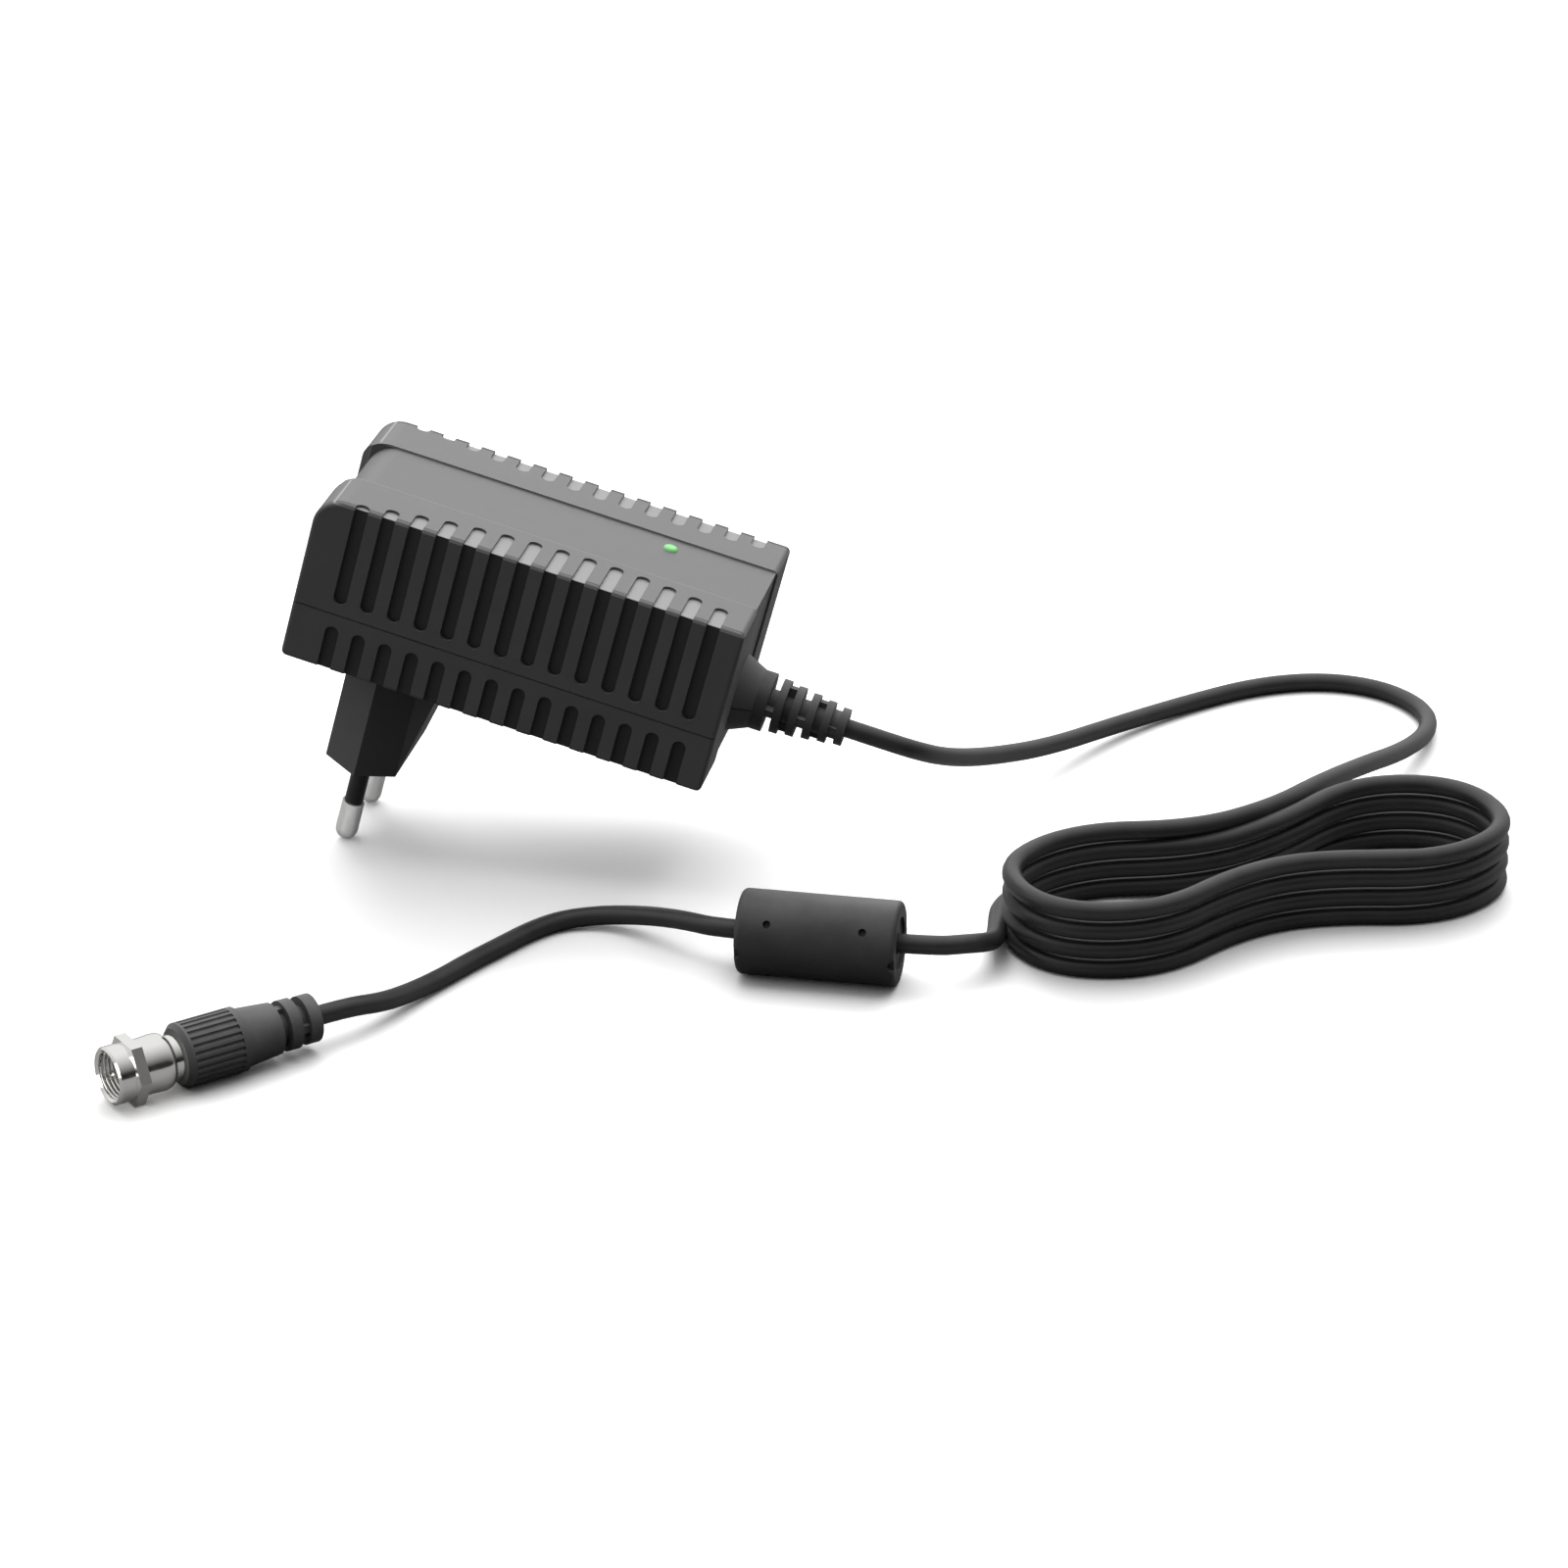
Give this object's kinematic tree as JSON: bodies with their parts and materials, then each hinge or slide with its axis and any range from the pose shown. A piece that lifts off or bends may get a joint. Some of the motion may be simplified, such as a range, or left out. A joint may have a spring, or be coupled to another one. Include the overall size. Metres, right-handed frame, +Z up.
{
  "type": "plug-in power supply with coaxial connector",
  "caption": "Ribbed plug-in mains power supply on a fixed plug, with a cord laid in a hank, a ferrite bead and a coaxial screw-on connector with a free-turning nut.",
  "frame": {"origin": "on the floor under the middle of the supply, without its cord, as it stands on its two pin tips", "axes": "+Z up, +X along the supply from its rounded end to its cord end, +Y across it, away from the connector"},
  "size_m": [0.2605, 0.2527, 0.0828],
  "materials": {
    "case": "moulded, fine matt texture",
    "pin_metal": "nickel plated, matt",
    "pin_sleeve": "satin",
    "strip_metal": "stamped",
    "strain_relief": "satin moulding",
    "led_lens": "diffused",
    "led_leg": "tinned",
    "board": "paper laminate",
    "ferrite": "sintered",
    "winding_tape": "tape",
    "capacitor_sleeve": "shrink sleeve",
    "drum": "varnished",
    "heatsink": "bare",
    "ceramic": "dipped",
    "fuse_body": "ceramic",
    "wire": "insulated",
    "cord": "satin jacket",
    "bead_cover": "satin moulding",
    "boot": "satin moulding",
    "nickel": "bright nickel plate",
    "contact": "plated",
    "insulator": "natural"
  },
  "bodies": {
    "supply": {"upper_shell": "case", "lower_shell": "case", "plug_body": "case", "pin_front": "pin_metal", "pin_rear": "pin_metal", "pin_sleeve_front": "pin_sleeve", "pin_sleeve_rear": "pin_sleeve", "contact_strip_front": "strip_metal", "contact_strip_rear": "strip_metal", "strain_relief": "strain_relief", "led": "led_lens", "led_legs": "led_leg", "circuit_board": "board", "transformer_core": "ferrite", "transformer_winding": "winding_tape", "input_capacitor": "capacitor_sleeve", "output_capacitor": "capacitor_sleeve", "inductor": "drum", "diode_heatsink": "heatsink", "suppression_capacitor": "ceramic", "fuse": "fuse_body", "lead_wires": "wire", "cord_lead": "cord", "cord_hank": "cord", "cord_tail": "cord", "ferrite_cover": "bead_cover", "ferrite_core": "ferrite", "connector_boot": "boot", "connector_body": "nickel", "dielectric": "insulator", "contact_pin": "contact"},
    "nut": {"coupling_nut": "nickel"}
  },
  "joints": [
    {"name": "nut_spin", "type": "hinge", "parent": "supply", "child": "nut", "pos_m": [-0.0614, -0.1361, 0.0065], "axis": [0.7071, 0.7071, 0], "continuous": true}
  ]
}
